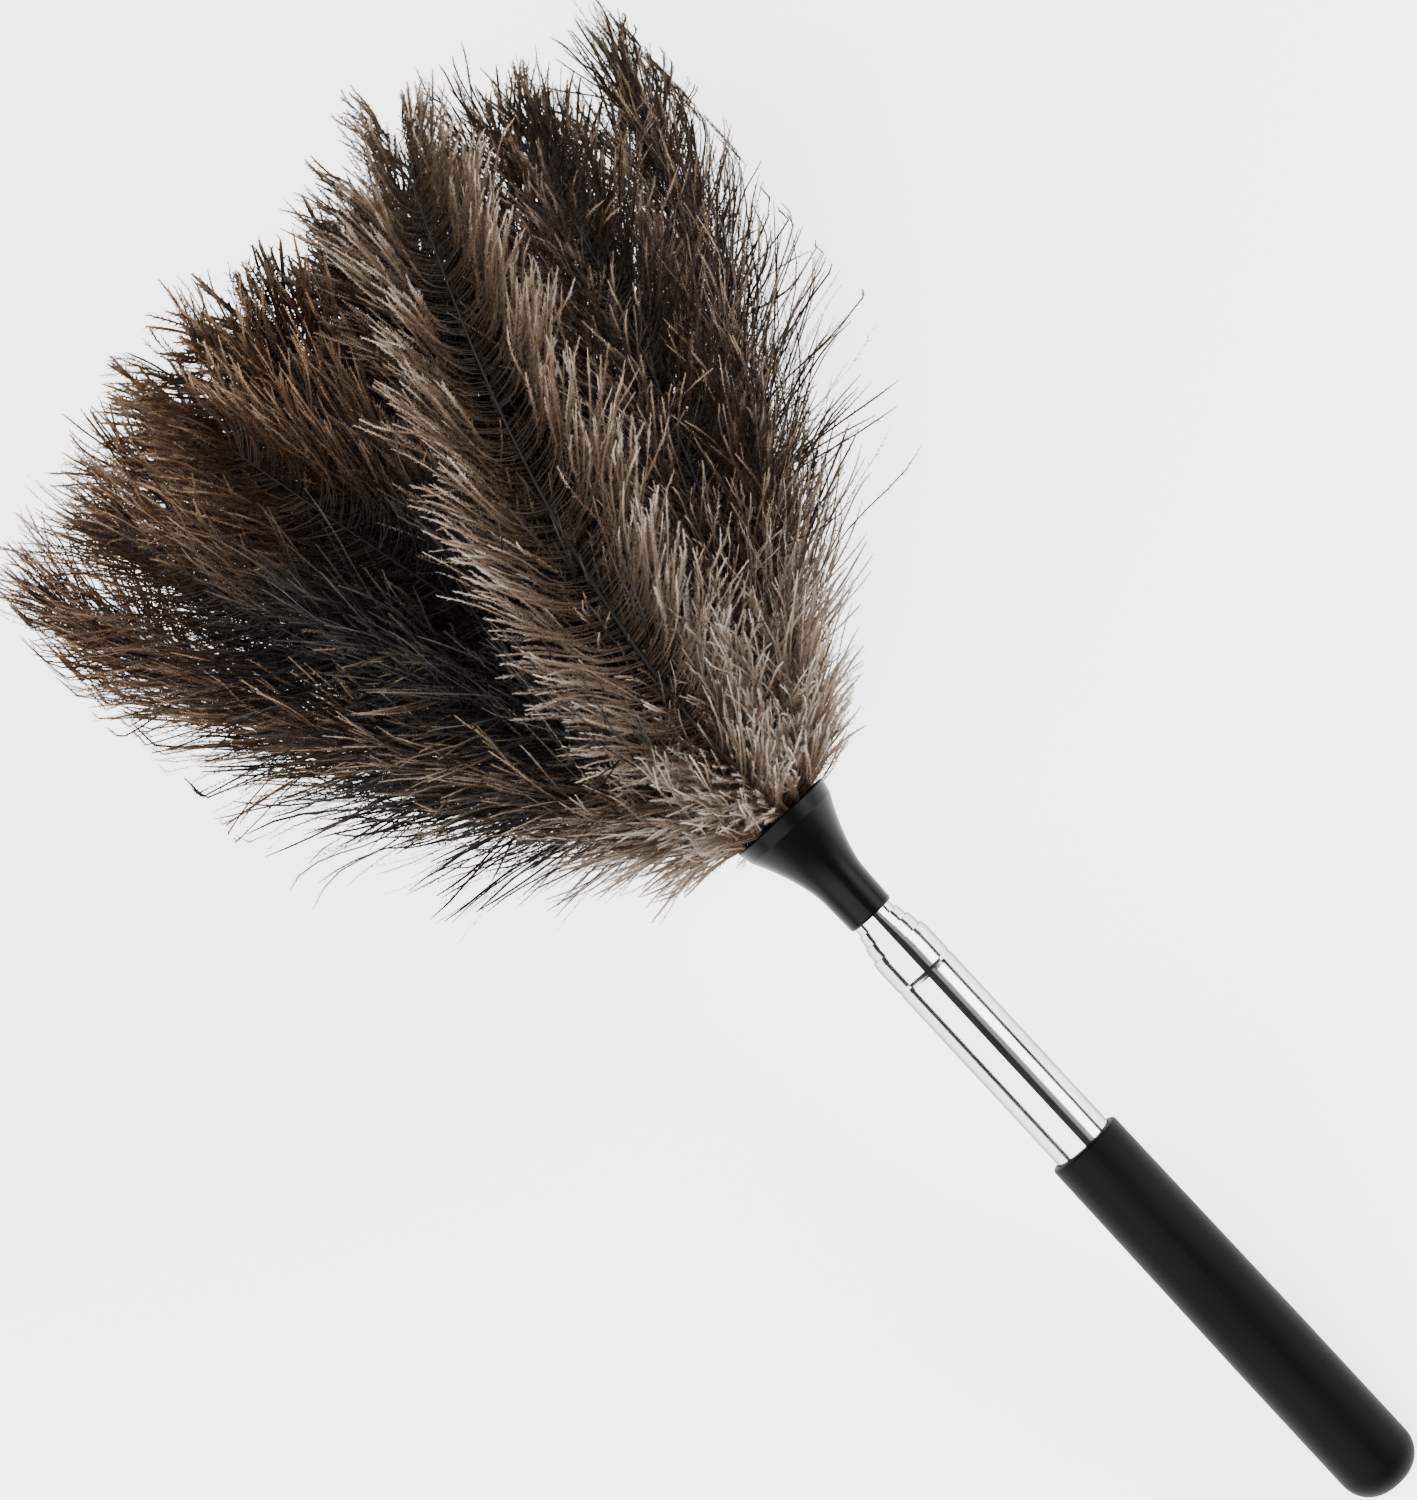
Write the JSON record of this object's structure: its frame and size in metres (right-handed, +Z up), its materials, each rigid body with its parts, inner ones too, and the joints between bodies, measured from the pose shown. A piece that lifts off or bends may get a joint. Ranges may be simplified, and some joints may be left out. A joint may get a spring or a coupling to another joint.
{
  "type": "telescopic feather duster",
  "caption": "Ostrich feather duster with a soft grip, telescopic steel pole and flared ferrule, lying on a flat surface; the pole slides out and turns.",
  "frame": {"origin": "on the surface the duster lies on, under the middle of its bounding box", "axes": "+X from the grip towards the feathers along the surface, +Z up; the pole rises towards the feathers because the plume props it up"},
  "size_m": [0.5552, 0.245, 0.2402],
  "materials": {
    "grip_rubber": "soft matte moulded sleeve",
    "polished_steel": "polished stainless steel",
    "ferrule_plastic": "semi-matte moulded plastic",
    "glide_plastic": "natural acetal",
    "plug_plastic": "moulded plastic",
    "pad_rubber": "soft rubber",
    "adapter_plastic": "moulded plastic",
    "screw_steel": "zinc plated",
    "dowel_wood": "plain beech",
    "binding_thread": "waxed linen thread",
    "feather_dark": "downy ostrich feather, near black brown",
    "feather_sepia": "downy ostrich feather, sepia brown",
    "feather_taupe": "downy ostrich feather, taupe grey brown"
  },
  "bodies": {
    "handle": {"grip_sleeve": "grip_rubber", "butt_plug": "plug_plastic", "bump_pad": "pad_rubber", "pole_tube_1": "polished_steel", "neck_liner_1": "glide_plastic"},
    "glide_2": {"glide_bush_2": "glide_plastic"},
    "section_2": {"pole_tube_2": "polished_steel", "neck_liner_2": "glide_plastic"},
    "glide_3": {"glide_bush_3": "glide_plastic"},
    "section_3": {"pole_tube_3": "polished_steel", "neck_liner_3": "glide_plastic"},
    "glide_4": {"glide_bush_4": "glide_plastic"},
    "head": {"pole_tube_4": "polished_steel", "head_adapter": "adapter_plastic", "core_washer": "screw_steel", "core_screw": "screw_steel", "core_dowel": "dowel_wood", "ferrule": "ferrule_plastic", "binding_core": "binding_thread", "binding_inner": "binding_thread", "binding_middle": "binding_thread", "binding_outer": "binding_thread", "feather_core_01": "feather_dark", "feather_core_02": "feather_dark", "feather_core_03": "feather_dark", "feather_core_04": "feather_dark", "feather_core_05": "feather_dark", "feather_core_06": "feather_dark", "feather_inner_01": "feather_dark", "feather_inner_02": "feather_dark", "feather_inner_03": "feather_dark", "feather_inner_04": "feather_dark", "feather_inner_05": "feather_dark", "feather_inner_06": "feather_dark", "feather_inner_07": "feather_dark", "feather_inner_08": "feather_dark", "feather_middle_01": "feather_sepia", "feather_middle_02": "feather_sepia", "feather_middle_03": "feather_sepia", "feather_middle_04": "feather_sepia", "feather_middle_05": "feather_sepia", "feather_middle_06": "feather_sepia", "feather_middle_07": "feather_sepia", "feather_middle_08": "feather_sepia", "feather_middle_09": "feather_sepia", "feather_middle_10": "feather_sepia", "feather_outer_01": "feather_taupe", "feather_outer_02": "feather_taupe", "feather_outer_03": "feather_taupe", "feather_outer_04": "feather_taupe", "feather_outer_05": "feather_taupe", "feather_outer_06": "feather_taupe", "feather_outer_07": "feather_taupe", "feather_outer_08": "feather_taupe", "feather_outer_09": "feather_taupe", "feather_outer_10": "feather_taupe", "feather_outer_11": "feather_taupe", "feather_outer_12": "feather_taupe"}
  },
  "joints": [
    {"name": "extend_2", "type": "slide", "parent": "handle", "child": "glide_2", "axis": [0.9766, 0, 0.2152], "range_m": [0, 0.1984]},
    {"name": "swivel_2", "type": "hinge", "parent": "glide_2", "child": "section_2", "pos_m": [-0.2567, 0, 0.01599], "axis": [0.9766, 0, 0.2152], "continuous": true},
    {"name": "extend_3", "type": "slide", "parent": "section_2", "child": "glide_3", "axis": [0.9766, 0, 0.2152], "range_m": [0, 0.2036]},
    {"name": "swivel_3", "type": "hinge", "parent": "glide_3", "child": "section_3", "pos_m": [-0.2567, 0, 0.01599], "axis": [0.9766, 0, 0.2152], "continuous": true},
    {"name": "extend_4", "type": "slide", "parent": "section_3", "child": "glide_4", "axis": [0.9766, 0, 0.2152], "range_m": [0, 0.2078]},
    {"name": "swivel_4", "type": "hinge", "parent": "glide_4", "child": "head", "pos_m": [-0.2567, 0, 0.01599], "axis": [0.9766, 0, 0.2152], "continuous": true}
  ]
}
